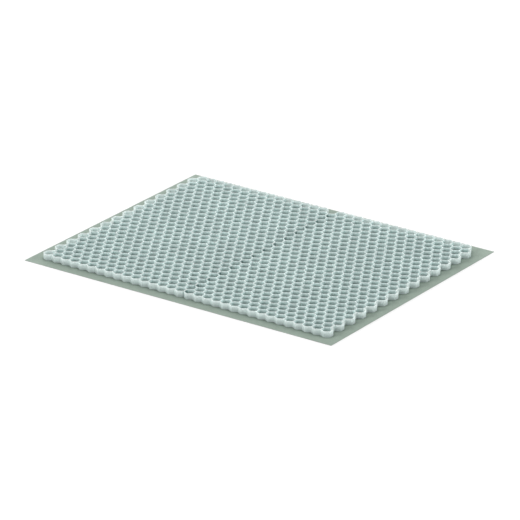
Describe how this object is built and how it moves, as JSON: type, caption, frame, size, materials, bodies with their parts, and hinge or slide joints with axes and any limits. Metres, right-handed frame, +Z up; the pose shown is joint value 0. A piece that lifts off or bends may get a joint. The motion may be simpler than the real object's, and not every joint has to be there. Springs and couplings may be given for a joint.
{
  "type": "folding honeycomb gravel stabiliser mat",
  "caption": "Folding mat of two open plastic honeycomb panels on one geotextile sheet, laid under gravel on a path or nursery floor.",
  "frame": {"origin": "centre of the underside of the open mat, on the fold line", "axes": "+X across the two panels, along the long edge; +Y along the fold line, from front to back; +Z up"},
  "size_m": [1.7116, 1.3368, 0.031],
  "materials": {
    "honeycomb": "milky white translucent polypropylene, satin",
    "geotextile": "grey-green needle-punched felt"
  },
  "bodies": {
    "left_panel": {"left_geotextile": "geotextile", "left_honeycomb": "honeycomb"},
    "right_panel": {"right_geotextile": "geotextile", "right_honeycomb": "honeycomb"}
  },
  "joints": [
    {"name": "fold", "type": "hinge", "parent": "left_panel", "child": "right_panel", "pos_m": [0, 0, 0], "axis": [0, 1, 0], "range_deg": [0, 180]}
  ]
}
